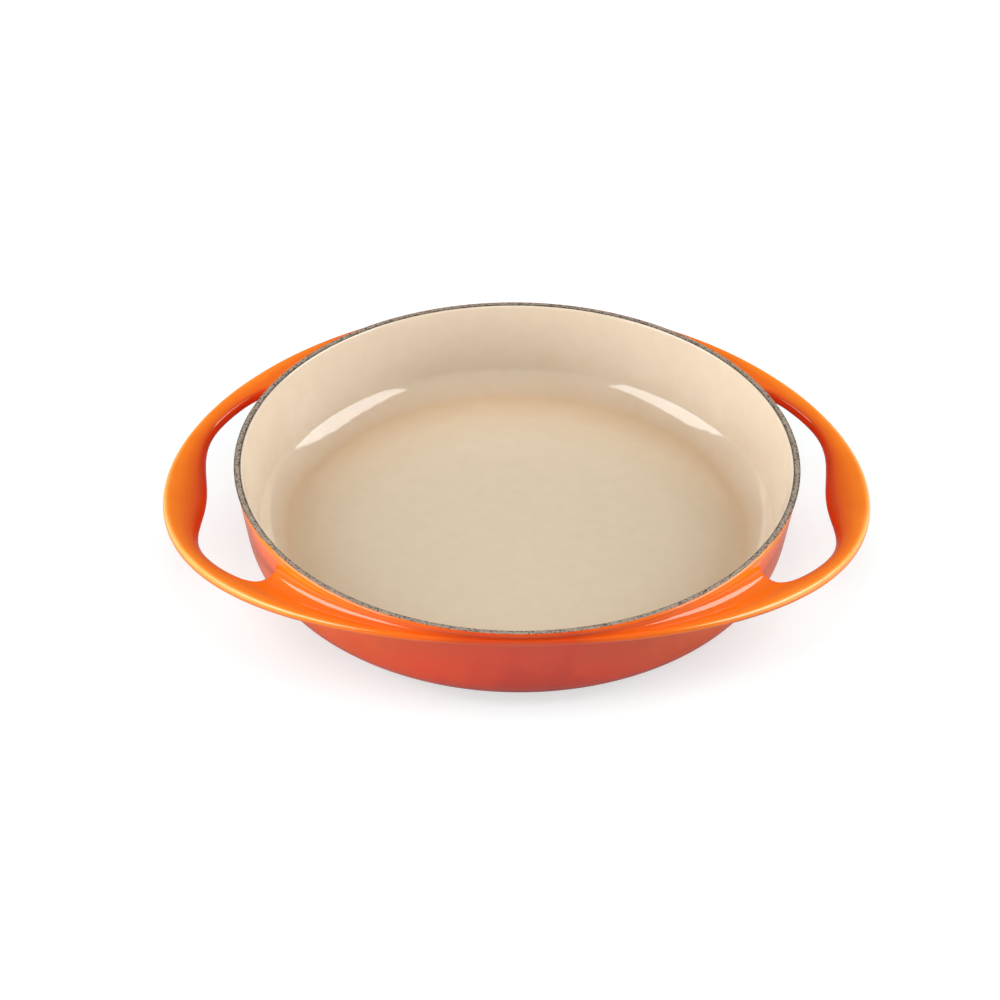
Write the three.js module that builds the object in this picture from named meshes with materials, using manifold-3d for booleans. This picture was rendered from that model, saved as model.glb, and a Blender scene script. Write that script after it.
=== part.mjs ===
// Tarte tatin dish: a round cast-iron dish whose brim runs out into two loop handles,
// covered with fired enamel. Millimetres, +Z up, table at z = 0, handles along X.
import * as THREE from 'three';
import { mergeVertices } from 'three/addons/utils/BufferGeometryUtils.js';
import Module from 'manifold-3d';

const wasm = await Module();
wasm.setup();

// Driving dimensions: the bowl
const MOUTH_RADIUS = 125;            // inside of the rim
const RIM_WIDTH = 2.9;
const INNER_DEPTH = 41.2;            // rim to the cooking floor
const BASE_THICKNESS = 4.1;          // under the cooking floor, coats included
const FOOT_HEIGHT = 2.2;             // base to the table
const OUTER_TAPER = 9;               // degrees, outside of the wall from the vertical
const INNER_TAPER = 13.4;            // degrees, inside of the wall from the vertical
const CORNER_RADIUS = 17.8;          // outside, wall to base
const COVE_RADIUS = 21.5;            // inside, floor up to the wall
const COVE_HEIGHT = 9.2;             // cooking floor up to the line where the cove meets the wall
const COVE_BREAK = 5;                // softening of that line
const PARTING_MARGIN = 2.5;          // bottom corner in to the parting line of the two outer coats
const FOOT_MARGIN = 3;               // parting line in to the foot ring
const FOOT_WIDTH = 10;
const FOOT_DRAFT = 1;                // how much wider the foot is at its root, each side
const FOOT_ROUND = 0.8;

// Driving dimensions: the brim and its handles
const FINGER_GAP = 13;               // from the rim's outside to the handle's inner edge, in the middle
const GRIP_WIDTH = 20.2;             // handle at its middle, where the thumb rests
const RIDGE_REACH = 1.5;             // from the rim's outside to the brim's edge, front and back
const RIDGE_DROP = 2.7;              // rim down to the top of the brim's edge, front and back
const HANDLE_DROP = 18.6;            // the same at the handle's tip
const RIDGE_THICKNESS = 3.4;
const HANDLE_THICKNESS = 5.6;
const GRIP_FALL = 0.13;              // slope of the handle, down from its edge to the finger gap
const EDGE_ROUND = 1.8;
const TOP_FILLET = 7;                // brim up to the wall
const UNDER_FILLET = 3;              // brim down to the wall
const FLANK_WIDTH = 9.1;             // handle at its narrowest, either side of the middle
const FLANK_ANGLE = 19.7;            // degrees from the handle's middle to its narrowest place
const GAP_ANGLE = 33.2;              // degrees from the handle's middle to the end of the finger gap
const GAP_SQUARENESS = 6;            // exponent of the rounded ends of the finger gap
const GRIP_ROUND_ABOVE = 0.62;       // part of the thickness that the inner edge is rounded over, above
const GRIP_ROUND_BELOW = 0.32;       // the same, below
const THUMB_ROLL = 5;                // how much further that rounding runs over the top at the thumb rest

// Driving dimensions: the coats
const COAT = 0.4;                    // one fired coat
const COAT_BED = 0.1;                // clearance between a coat and the iron, and from coat to coat
const RIM_COAT_HEIGHT = 0.6;
const RIM_EDGE = 0.1;                // upright edge left under the rounding of the rim

// How much room the brim's roundings may take where it narrows to a ridge
const EDGE_SHARE = 0.45;             // of the brim's width, for its rounded edge
const FACE_SHARE = 0.9;              // of half the edge's thickness, for the same
const FILLET_SHARE = 0.8;            // of what is left of the width and the height, for a fillet

// Smoothness
const QUARTER_TURN_STEPS = 13;
const LARGE_ARC_STEPS = 4;           // cove, bottom corner
const FILLET_STEPS = 3;
const ROUND_STEPS = 2;
const SMALL_STEPS = 1;
const GAP_STEPS = 22;
const GAP_WALL_STEPS = 8;
const MERGE_DISTANCE = 1e-4;         // vertices closer than this are one

// What follows from the driving dimensions
const height = INNER_DEPTH + BASE_THICKNESS + FOOT_HEIGHT;
const rimRadius = MOUTH_RADIUS + RIM_WIDTH;
const handleReach = FINGER_GAP + GRIP_WIDTH;
const coatTop = height - RIM_COAT_HEIGHT - COAT_BED;
const floorHeight = FOOT_HEIGHT + BASE_THICKNESS;
const ironInset = COAT + COAT_BED;
const outerTilt = THREE.MathUtils.degToRad(OUTER_TAPER);
const innerTilt = THREE.MathUtils.degToRad(INNER_TAPER);
const outerSlope = Math.tan(outerTilt);
const innerSlope = Math.tan(innerTilt);
const cornerReach = CORNER_RADIUS / Math.tan((Math.PI / 2 + outerTilt) / 2);
const partingRadius = wallRadius(FOOT_HEIGHT, 0) - cornerReach - PARTING_MARGIN;
const footRadius = partingRadius - FOOT_MARGIN - FOOT_DRAFT;
const turnSteps = 4 * QUARTER_TURN_STEPS;
const buried = RIM_WIDTH / 10;       // how far the brim's fillets run on under the face of the wall
const rooted = RIM_WIDTH / 3;        // how far the brim reaches into the wall it grows from
const overshoot = height / 4;        // how far a cutting form runs past what it cuts

// A profile point in the half plane of radius and height, with its rounding and the steps of that arc.
function corner(radius, level, round = 0, steps = 0) {
  return { point: new THREE.Vector2(radius, level), round, steps };
}

// Turns a chain of corners into points, each rounded corner into the points of its arc.
function rounded(corners) {
  return corners.flatMap(({ point, round, steps }, i) => {
    if (steps === 0) return [point.clone()];
    const back = corners[i - 1].point.clone().sub(point).normalize();
    const ahead = corners[i + 1].point.clone().sub(point).normalize();
    const half = Math.acos(THREE.MathUtils.clamp(back.dot(ahead), -1, 1)) / 2;
    const reach = round / Math.tan(half);
    const bisector = back.clone().add(ahead).normalize();
    const centre = point.clone().addScaledVector(bisector, round / Math.sin(half));
    const start = point.clone().addScaledVector(back, reach).sub(centre);
    const end = point.clone().addScaledVector(ahead, reach).sub(centre);
    const sweep = Math.atan2(start.cross(end), start.dot(end));
    return Array.from({ length: steps + 1 }, (_, k) =>
      start.clone().rotateAround(new THREE.Vector2(), sweep * k / steps).add(centre));
  });
}

// Moves a chain of points sideways, to the left of its direction, with mitred corners.
function shifted(points, distance) {
  const side = (a, b) => new THREE.Vector2(a.y - b.y, b.x - a.x).normalize();
  return points.map((point, i) => {
    const before = side(points[Math.max(i - 1, 0)], points[Math.max(i, 1)]);
    const after = side(points[Math.min(i, points.length - 2)], points[Math.min(i + 1, points.length - 1)]);
    const mitre = before.clone().add(after);
    return point.clone().addScaledVector(mitre, 2 * distance / mitre.lengthSq());
  });
}

// A closed solid from a geometry: shared vertices merged, empty triangles dropped, faces turned out.
function solid(geometry) {
  const bare = new THREE.BufferGeometry();
  bare.setAttribute('position', geometry.getAttribute('position'));
  bare.setIndex(geometry.getIndex());
  const merged = mergeVertices(bare, MERGE_DISTANCE);
  const positions = merged.getAttribute('position');
  const index = merged.getIndex().array;
  const triangles = [];
  let volume = 0;
  const [a, b, c] = [new THREE.Vector3(), new THREE.Vector3(), new THREE.Vector3()];
  for (let i = 0; i < index.length; i += 3) {
    const [p, q, r] = index.slice(i, i + 3);
    if (p === q || q === r || r === p) continue;
    a.fromBufferAttribute(positions, p);
    b.fromBufferAttribute(positions, q);
    c.fromBufferAttribute(positions, r);
    volume += a.dot(b.cross(c));
    triangles.push([p, q, r]);
  }
  const triVerts = new Uint32Array((volume > 0 ? triangles : triangles.map((t) => t.reverse())).flat());
  const vertProperties = new Float32Array(positions.array);
  return new wasm.Manifold(new wasm.Mesh({ numProp: 3, vertProperties, triVerts }));
}

// A solid of revolution about Z from profile points of radius and height.
function revolved(points) {
  return solid(new THREE.LatheGeometry(points, turnSteps).rotateX(Math.PI / 2));
}

// A solid through a row of rings with equal counts of points: a closed row makes a hoop,
// an open row is capped at both ends.
function lofted(rings, closed) {
  const count = rings[0].length;
  const index = [];
  const bands = closed ? rings.length : rings.length - 1;
  for (let i = 0; i < bands; i += 1) {
    const here = i * count;
    const next = ((i + 1) % rings.length) * count;
    for (let j = 0; j < count; j += 1) {
      const k = (j + 1) % count;
      index.push(here + j, here + k, next + k, here + j, next + k, next + j);
    }
  }
  if (!closed) {
    const plan = (ring) => ring.map((point) => new THREE.Vector2(point.x, point.y));
    const cap = (ring) => THREE.ShapeUtils.triangulateShape(plan(ring), []);
    const last = (rings.length - 1) * count;
    cap(rings[0]).forEach(([p, q, r]) => index.push(r, q, p));
    cap(rings[rings.length - 1]).forEach(([p, q, r]) => index.push(last + p, last + q, last + r));
  }
  const geometry = new THREE.BufferGeometry().setFromPoints(rings.flat());
  geometry.setIndex(index);
  return solid(geometry);
}

// The outside of the wall at a height, set in by a coat where asked.
function wallRadius(level, inset) {
  return rimRadius - (height - level) * outerSlope - inset / Math.cos(outerTilt);
}

// Outside of the bowl, from the base's edge at the parting line up to the coat's upper edge.
function outsideProfile() {
  return rounded([
    corner(partingRadius, FOOT_HEIGHT),
    corner(wallRadius(FOOT_HEIGHT, 0), FOOT_HEIGHT, CORNER_RADIUS, LARGE_ARC_STEPS),
    corner(wallRadius(coatTop, 0), coatTop),
  ]);
}

// Underside with its foot ring, from the middle out to the parting line.
function undersideProfile() {
  const inner = footRadius - FOOT_WIDTH;
  return rounded([
    corner(0, FOOT_HEIGHT),
    corner(inner - FOOT_DRAFT, FOOT_HEIGHT),
    corner(inner, 0, FOOT_ROUND, SMALL_STEPS),
    corner(footRadius, 0, FOOT_ROUND, SMALL_STEPS),
    corner(footRadius + FOOT_DRAFT, FOOT_HEIGHT),
    corner(partingRadius, FOOT_HEIGHT),
  ]);
}

// Inside of the dish, from the middle of the floor up the cove and the wall to the coat's upper edge.
// The cove is an arc that leaves the floor level and runs up to the line where it meets the wall.
function insideProfile() {
  const innerWall = (level) => MOUTH_RADIUS - (height - level) * innerSlope;
  const meeting = new THREE.Vector2(innerWall(floorHeight + COVE_HEIGHT), floorHeight + COVE_HEIGHT);
  const sweep = Math.acos(1 - COVE_HEIGHT / COVE_RADIUS);
  const centre = new THREE.Vector2(meeting.x - COVE_RADIUS * Math.sin(sweep), floorHeight + COVE_RADIUS);
  const cove = Array.from({ length: LARGE_ARC_STEPS }, (_, k) => {
    const angle = sweep * k / LARGE_ARC_STEPS;
    return new THREE.Vector2(Math.sin(angle), -Math.cos(angle)).multiplyScalar(COVE_RADIUS).add(centre);
  });
  const lastOnCove = cove[cove.length - 1];
  const turn = Math.PI / 2 - innerTilt - sweep;
  const soft = Math.min(COVE_BREAK, meeting.distanceTo(lastOnCove) / 2 / Math.tan(turn / 2));
  const wall = rounded([
    corner(lastOnCove.x, lastOnCove.y),
    corner(meeting.x, meeting.y, soft, ROUND_STEPS),
    corner(innerWall(coatTop), coatTop),
  ]).slice(1);
  return [new THREE.Vector2(0, floorHeight), ...cove, ...wall];
}

// The brim's edge in plan: an ellipse a little wider than the rim and much longer.
function edgeRadius(angle) {
  const long = rimRadius + handleReach;
  const short = rimRadius + RIDGE_REACH;
  return long * short / Math.hypot(short * Math.cos(angle), long * Math.sin(angle));
}

// How much of a handle the brim is: 0 at front and back, 1 at the handle's tip.
function handleShare(angle) {
  const along = edgeRadius(angle) * Math.cos(angle) / (rimRadius + handleReach);
  return along * along;
}

// Slope of the brim, down from its edge: level at front and back, steepest in the handle's middle.
function brimFall(angle) {
  return GRIP_FALL * handleShare(angle) ** 2;
}

// Height of the middle of the brim's thickness: the edge droops to the handles,
// and the handles fall a little towards their finger gaps.
function brimHeight(angle, radius) {
  const drop = THREE.MathUtils.lerp(RIDGE_DROP, HANDLE_DROP, handleShare(angle));
  return height - drop - brimThickness(angle) / 2 - (edgeRadius(angle) - radius) * brimFall(angle);
}

function brimThickness(angle) {
  return THREE.MathUtils.lerp(RIDGE_THICKNESS, HANDLE_THICKNESS, handleShare(angle));
}

// Where a line from a point of the brim's edge, along the slope of the brim, meets the wall.
function brimAtWall(edge, level, fall, inset) {
  const lean = outerSlope * fall;
  const radius = (wallRadius(level, inset) - lean * edge) / (1 - lean);
  return new THREE.Vector2(radius, level - (edge - radius) * fall);
}

// Roundings of the brim at one angle, as large as its width and its height below the rim allow.
function brimRounds(angle) {
  const edge = edgeRadius(angle);
  const fall = brimFall(angle);
  const half = brimThickness(angle) / 2;
  const upper = brimAtWall(edge, brimHeight(angle, edge) + half, fall, 0);
  const width = edge - upper.x;
  const edgeRound = Math.min(EDGE_ROUND, width * EDGE_SHARE, half * FACE_SHARE);
  const room = Math.min(width - edgeRound, coatTop - upper.y) * FILLET_SHARE;
  const bend = Math.PI / 2 - outerTilt - Math.atan(fall);
  const topFillet = Math.min(TOP_FILLET, room * Math.tan(bend / 2));
  const underFillet = Math.min(UNDER_FILLET, room);
  return { edgeRound, topFillet, underFillet };
}

// The brim cut through at one angle: filleted into the wall above and below, rounded at its edge.
function brimSection(angle, inset) {
  const edge = edgeRadius(angle) - inset;
  const middle = brimHeight(angle, edge);
  const half = brimThickness(angle) / 2 - inset;
  const fall = brimFall(angle);
  const upper = brimAtWall(edge, middle + half, fall, inset + buried);
  const under = brimAtWall(edge, middle - half, fall, inset + buried);
  const { edgeRound, topFillet, underFillet } = brimRounds(angle);
  const top = THREE.MathUtils.lerp(upper.y, coatTop, (1 + FILLET_SHARE) / 2);
  const bottom = under.y - 2 * (underFillet + inset);
  return rounded([
    corner(wallRadius(top, inset + rooted), top),
    corner(wallRadius(top, inset + buried), top),
    corner(upper.x, upper.y, topFillet + inset, FILLET_STEPS),
    corner(edge, middle + half, edgeRound - inset, ROUND_STEPS),
    corner(edge, middle - half, edgeRound - inset, ROUND_STEPS),
    corner(under.x, under.y, underFillet + inset, SMALL_STEPS),
    corner(wallRadius(bottom, inset + buried), bottom),
    corner(wallRadius(bottom, inset + rooted), bottom),
  ]);
}

// How much of a thumb rest the handle is: 1 in its middle, 0 on its flanks.
function thumbSwell(angle) {
  const flank = THREE.MathUtils.degToRad(FLANK_ANGLE);
  return Math.abs(angle) < flank ? (1 + Math.cos(Math.PI * angle / flank)) / 2 : 0;
}

// Inner edge of the handle in plan: the grip swells to the thumb rest in the middle,
// and the finger gap closes with a rounded end against the wall.
function gripRadius(angle) {
  const end = THREE.MathUtils.degToRad(GAP_ANGLE);
  const inner = edgeRadius(angle) - THREE.MathUtils.lerp(FLANK_WIDTH, GRIP_WIDTH, thumbSwell(angle));
  const wall = wallRadius(brimHeight(angle, inner), 0);
  const closing = Math.max(0, 1 - Math.abs(angle / end) ** GAP_SQUARENESS) ** (1 / GAP_SQUARENESS);
  return wall + (inner - wall) * closing;
}

// Outline of one finger gap in plan, run on into the wall so that the wall stays plain there.
function gapOutline() {
  const end = THREE.MathUtils.degToRad(GAP_ANGLE);
  const polar = (radius, angle) => new THREE.Vector2(radius * Math.cos(angle), radius * Math.sin(angle));
  const grip = Array.from({ length: GAP_STEPS + 1 }, (_, i) => {
    const angle = -end * Math.cos(Math.PI * i / GAP_STEPS);
    return polar(gripRadius(angle), angle);
  });
  const inside = wallRadius(0, 0) - RIM_WIDTH;
  const wall = Array.from({ length: GAP_WALL_STEPS + 1 }, (_, i) =>
    polar(inside, end * (1 - 2 * i / GAP_WALL_STEPS)));
  return [...grip, ...wall];
}

// The form that cuts a finger gap: its sides round the handle's inner edge over, above and below,
// widest over the thumb rest, following the droop of the brim, and run on past the dish at both ends.
function gapCutter(inset) {
  const outline = gapOutline();
  const grown = shifted([outline[outline.length - 1], ...outline, outline[0]], -1).slice(1, -1);
  const angles = outline.map((point) => Math.atan2(point.y, point.x));
  const swellAt = (i) => (i <= GAP_STEPS ? thumbSwell(angles[i]) : 0);
  // The outline moved out into the iron, at a height from the middle of the brim: side is 1 above, -1 below.
  const ring = (side, out, rise) => outline.map((point, i) => {
    const spot = point.clone().lerp(grown[i], out(i));
    const angle = Math.atan2(spot.y, spot.x);
    const middle = brimHeight(angle, Math.min(spot.length(), edgeRadius(angle)));
    return new THREE.Vector3(spot.x, spot.y, middle + side * rise(i));
  });
  // The rings of the rounded edge on one side, and of the upright form past it.
  const roundedRings = (side, share, roll, steps, farLevel) => {
    const half = (i) => brimThickness(angles[i]) / 2;
    const round = (i) => 2 * half(i) * share;
    const run = (i) => round(i) + roll * swellAt(i);
    const edge = Array.from({ length: steps + 1 }, (_, k) => {
      const cos = Math.cos(Math.PI / 2 * k / steps);
      const sin = Math.sin(Math.PI / 2 * k / steps);
      const inwards = (i) => new THREE.Vector2(round(i) * cos, run(i) * sin).setLength(inset);
      const out = (i) => run(i) * (1 - cos) + inwards(i).x;
      const rise = (i) => half(i) - round(i) * (1 - sin) - inwards(i).y;
      return ring(side, out, rise);
    });
    const past = ring(side, (i) => run(i) + inset, half);
    const far = past.map((spot) => new THREE.Vector3(spot.x, spot.y, farLevel));
    return [...edge, past, far];
  };
  return lofted([
    ...roundedRings(-1, GRIP_ROUND_BELOW, 0, SMALL_STEPS, -overshoot).reverse(),
    ...roundedRings(1, GRIP_ROUND_ABOVE, THUMB_ROLL, FILLET_STEPS, height + overshoot),
  ], false);
}

// The brim all round, with both finger gaps cut through it.
function brim(inset) {
  const sections = Array.from({ length: turnSteps }, (_, i) => {
    const angle = 2 * Math.PI * i / turnSteps;
    return brimSection(angle, inset).map((point) =>
      new THREE.Vector3(point.x * Math.cos(angle), point.x * Math.sin(angle), point.y));
  });
  const cutter = gapCutter(inset);
  return lofted(sections, true).subtract(cutter).subtract(cutter.rotate([0, 0, 180]));
}

// The dish as one casting: bowl, foot ring, brim and handles.
function ironCasting() {
  const inside = shifted(insideProfile(), -ironInset);
  const outside = shifted([...undersideProfile(), ...outsideProfile().slice(1)], ironInset);
  inside[inside.length - 1].y = coatTop;
  outside[outside.length - 1].y = coatTop;
  return revolved([...outside, ...inside.reverse()]).add(brim(ironInset));
}

// The ground coat that is left bare on the rim.
function rimCoat() {
  const under = height - RIM_COAT_HEIGHT;
  const round = RIM_COAT_HEIGHT - RIM_EDGE;
  return revolved(rounded([
    corner(MOUTH_RADIUS, under),
    corner(rimRadius, under),
    corner(rimRadius, height, round, SMALL_STEPS),
    corner(MOUTH_RADIUS, height, round, SMALL_STEPS),
    corner(MOUTH_RADIUS, under),
  ]));
}

// The pale coat on the cooking side.
function insideCoat() {
  const face = insideProfile();
  const back = shifted(face, -COAT);
  back[back.length - 1].y = coatTop;
  return revolved([...face, ...back.reverse()]);
}

// The coloured coat on the wall, the brim and the handles, open at the rim and at the parting line.
function outsideCoat() {
  const face = outsideProfile();
  const back = shifted(face, COAT);
  const top = back[back.length - 1];
  const outer = [new THREE.Vector2(0, FOOT_HEIGHT), ...face, new THREE.Vector2(0, coatTop)];
  const inner = [
    new THREE.Vector2(0, -overshoot),
    new THREE.Vector2(partingRadius, -overshoot),
    ...back,
    new THREE.Vector2(top.x, height + overshoot),
    new THREE.Vector2(0, height + overshoot),
  ];
  return revolved(outer).add(brim(0)).subtract(revolved(inner).add(brim(COAT)));
}

// The coat under the dish, over the foot ring, up to the parting line.
function undersideCoat() {
  const face = undersideProfile();
  const back = shifted(face, COAT);
  const edge = partingRadius - COAT_BED;
  face[face.length - 1].x = edge;
  back[back.length - 1].x = edge;
  return revolved([...face, ...back.reverse()]);
}

// One named piece with its finish.
function piece(name, body, color, roughness, metalness) {
  const { vertProperties, triVerts } = body.getMesh();
  const geometry = new THREE.BufferGeometry();
  geometry.setAttribute('position', new THREE.BufferAttribute(vertProperties, 3));
  geometry.setIndex(new THREE.BufferAttribute(triVerts, 1));
  geometry.computeVertexNormals();
  const mesh = new THREE.Mesh(geometry, new THREE.MeshStandardMaterial({ color, roughness, metalness }));
  mesh.name = name;
  return mesh;
}

const dish = new THREE.Group();
dish.add(
  piece('iron_casting', ironCasting(), 0x55565a, 0.6, 0.9),
  piece('rim_ground_coat', rimCoat(), 0x8f8172, 0.55, 0),
  piece('interior_enamel', insideCoat(), 0xdac8b0, 0.18, 0),
  piece('exterior_enamel', outsideCoat(), 0xe2601c, 0.15, 0),
  piece('underside_enamel', undersideCoat(), 0xa03a24, 0.2, 0),
);

export default dish;
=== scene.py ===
import math

import bmesh
import bpy
from mathutils import Matrix, Vector, noise


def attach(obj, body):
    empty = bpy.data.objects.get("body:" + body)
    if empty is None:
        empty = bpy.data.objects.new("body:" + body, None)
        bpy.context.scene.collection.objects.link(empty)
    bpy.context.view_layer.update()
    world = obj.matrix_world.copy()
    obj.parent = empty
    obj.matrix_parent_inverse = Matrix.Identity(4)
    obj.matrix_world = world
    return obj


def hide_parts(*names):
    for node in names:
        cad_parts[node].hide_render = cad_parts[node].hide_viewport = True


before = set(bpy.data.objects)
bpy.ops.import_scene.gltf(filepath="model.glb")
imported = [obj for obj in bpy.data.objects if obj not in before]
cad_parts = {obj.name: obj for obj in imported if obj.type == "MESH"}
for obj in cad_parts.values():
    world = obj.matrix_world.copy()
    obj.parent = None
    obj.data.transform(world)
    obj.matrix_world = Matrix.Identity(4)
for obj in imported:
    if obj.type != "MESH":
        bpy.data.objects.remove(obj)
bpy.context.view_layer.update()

scene = bpy.context.scene
scene.view_settings.view_transform = "Standard"

# Sizes of the bowl in millimetres, as in the part's source
MM = 0.001                            # in metres, which Blender works in
HEIGHT = 47.5
MOUTH_RADIUS = 125.0                  # inside of the rim
RIM_RADIUS = 127.9                    # outside of the rim
FLOOR_HEIGHT = 6.3                    # cooking floor above the table
FOOT_HEIGHT = 2.2                     # base above the table
OUTER_TILT = math.radians(9)          # outside of the wall, from the vertical
INNER_TILT = math.radians(13.4)       # inside of the wall, from the vertical
CORNER_RADIUS = 17.8                  # outside, wall to base
COVE_RADIUS = 21.5                    # inside, floor up to the wall
COVE_HEIGHT = 9.2                     # floor up to the line where the cove meets the wall
COVE_BREAK = 5.0                      # softening of that line
PARTING_MARGIN = 2.5                  # bottom corner in to the parting line of the two outer coats
FOOT_MARGIN = 3.0                     # parting line in to the foot ring
FOOT_WIDTH = 10.0
FOOT_DRAFT = 1.0                      # how much wider the foot is at its root, each side
FOOT_ROUND = 0.8
PARTING_RADIUS = (
    RIM_RADIUS - (HEIGHT - FOOT_HEIGHT) * math.tan(OUTER_TILT)
    - CORNER_RADIUS / math.tan((math.pi / 2 + OUTER_TILT) / 2) - PARTING_MARGIN
)
FOOT_RADIUS = PARTING_RADIUS - FOOT_MARGIN - FOOT_DRAFT

# Sizes of the brim and its handles
HANDLE_REACH = 33.2                   # from the rim's outside to the handle's tip
GRIP_WIDTH = 20.2                     # handle at its middle, where the thumb rests
RIDGE_REACH = 1.5                     # from the rim's outside to the brim's edge, front and back
RIDGE_DROP = 2.7                      # rim down to the top of the brim's edge, front and back
HANDLE_DROP = 18.6                    # the same at the handle's tip
RIDGE_THICKNESS = 3.4
HANDLE_THICKNESS = 5.6
GRIP_FALL = 0.13                      # slope of the handle, down from its edge to the finger gap
EDGE_ROUND = 1.8
TOP_FILLET = 7.0                      # brim up to the wall
UNDER_FILLET = 3.0                    # brim down to the wall
FLANK_WIDTH = 9.1                     # handle at its narrowest, either side of the middle
FLANK_ANGLE = math.radians(19.7)      # from the handle's middle to its narrowest place
GAP_ANGLE = math.radians(33.2)        # from the handle's middle to the end of the finger gap
GAP_SQUARENESS = 6                    # exponent of the rounded ends of the finger gap
GRIP_ROUND_ABOVE = 0.62               # part of the thickness that the inner edge is rounded over, above
GRIP_ROUND_BELOW = 0.32               # the same, below
THUMB_ROLL = 5.0                      # how much further that rounding runs over the top at the thumb rest

# How much room the brim's roundings may take where it narrows to a ridge
EDGE_SHARE = 0.45                     # of the brim's width, for its rounded edge
FACE_SHARE = 0.9                      # of half the edge's thickness, for the same
FILLET_SHARE = 0.8                    # of what is left of the width and the height, for a fillet

# Sizes of the coats, and of the lip and the bead in which they end at the rim
COAT = 0.4                            # one fired coat
COAT_BED = 0.1                        # clearance between a coat and the iron, and from coat to coat
RIM_COAT_HEIGHT = 0.6
COAT_TOP = HEIGHT - RIM_COAT_HEIGHT - COAT_BED
LIP_RADIUS = 1.0
LIP_CENTRE = (MOUTH_RADIUS + 0.19, HEIGHT - 1.24)     # radius and height
LIP_TURNS = [math.radians(turn) for turn in (13, 30, 50, 70)]
BEAD_RADIUS = 1.2
BEAD_CENTRE = (RIM_RADIUS - 0.7, HEIGHT - 1.25)       # radius and height
BEAD_TURNS = [math.radians(turn) for turn in (-10, 15, 38, 58, 74)]
BEAD_FOOT = BEAD_CENTRE[1] + BEAD_RADIUS * math.sin(BEAD_TURNS[0])
BEAD_START = HEIGHT - 3.0             # where the wall goes over into the bead
BEAD_SINK = (-0.5, -0.5)              # how far out and up the bead moves beside the handles
SINK_SHARES = (0.6, 0.9)              # shares of a handle between which it does

# Sizes of the bare coat on the rim
RIM_COAT_RADIUS = RIM_RADIUS - 0.35
RIM_ROUND = 0.5
RIM_SWELL = 0.4                       # how much further out it reaches beside the handles
RIM_FOOT = 0.2                        # height of its sides that stays true
RIM_DRAW = 0.08                       # how far its upper edges are drawn in
RIM_WAVES = ((0.35, 0.12), (1.3, 0.06))   # waves of these edges: scale per millimetre, and size
WAVE_OUT = 0.4                        # part of a wave that goes outwards
WAVE_DOWN = 0.5                       # part of a wave that goes down

# How finely the round pieces are made
COAT_TURN_STEPS = 192
RIM_TURN_STEPS = 360
ROUND_STEPS = 4
COVE_STEPS = 14
BREAK_SHARES = (0.25, 0.5, 0.75)      # places where the cove goes over into the wall
WALL_SHARES = (0, 0.2, 0.4, 0.6, 0.8, 0.95)   # places up the inside of the wall
FLOOR_RINGS = (0.0, 40.0, 80.0)       # radii of rings on the cooking floor
BASE_RINGS = (30.0, 60.0)             # radii of rings inside the foot
MERGE_DISTANCE = 1e-4                 # vertices closer than this are one

# The cage of the outside: rows round the dish, and columns from the parting line up to the rim
SMOOTHING = 2                         # subdivisions; the iron under the coats has one fewer
TURN_ROWS = 80
QUARTER_ROWS = TURN_ROWS // 4
GAP_ROWS = 8                          # rows from the middle of a finger gap to its end
CORNER_STEPS = 5
FILLET_STEPS = 3
EDGE_STEPS = 2
LOW_SHARES = (1 / 3, 2 / 3)           # places on the wall below the brim
FLAT_SHARES = (0.19, 0.37, 0.56, 0.78)    # places across the brim, out from the wall
GRIP_STEPS = 2                        # of these places, how many lie on the handle
UNDER_WALL = 1 + CORNER_STEPS + 1 + len(LOW_SHARES)
UNDER_EDGE = UNDER_WALL + FILLET_STEPS + 1 + len(FLAT_SHARES)
UNDER_GRIP = UNDER_EDGE - GRIP_STEPS
HIGH_EDGE = UNDER_EDGE + EDGE_STEPS + 1
TOP_EDGE = HIGH_EDGE + EDGE_STEPS
TOP_GRIP = TOP_EDGE + GRIP_STEPS
TOP_WALL = TOP_EDGE + len(FLAT_SHARES) + FILLET_STEPS + 1
BEAD_COLUMN = TOP_WALL + 3            # past the middle and the end of the wall above the brim
WALL_END = math.radians(34.5)         # the last row of the gap, on the wall
EDGE_END = math.radians(30.5)         # the same, on the brim's edge
WALL_ROWS = (0.0, 0.14, 0.28, 0.42, 0.56, 0.7, 0.83, 0.935, 1.0)   # rows, as shares of WALL_END

# The side of a finger gap: steps from the handle to the wall, and cuts from its upper to its lower edge
SIDE_SPREAD = (1.0, 0.75, 0.5, 0.3, 0.18, 0.08, 0.0)   # how far each step follows the handle's rows
GAP_SIDES = len(SIDE_SPREAD) - 1
FILLET_SIDE = len(FLAT_SHARES) - GRIP_STEPS + 1         # the step at which the fillets begin
GAP_TURNS = [math.radians(turn) for turn in (60, 30, 0, 45)]   # of each cut round the edge, 0 is upright
GAP_CUTS = len(GAP_TURNS)
UPPER_CUTS = 2                        # of these cuts, how many lie on the upper rounding
GAP_CORNER = GAP_ANGLE * 0.5 ** (1 / GAP_SQUARENESS)   # where the handle ends and the gap's end begins
HALVINGS = 40                         # of the range in which the outline is searched
SLOPE_STEP = 1e-4                     # for the slope that gives the outline's direction

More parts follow.
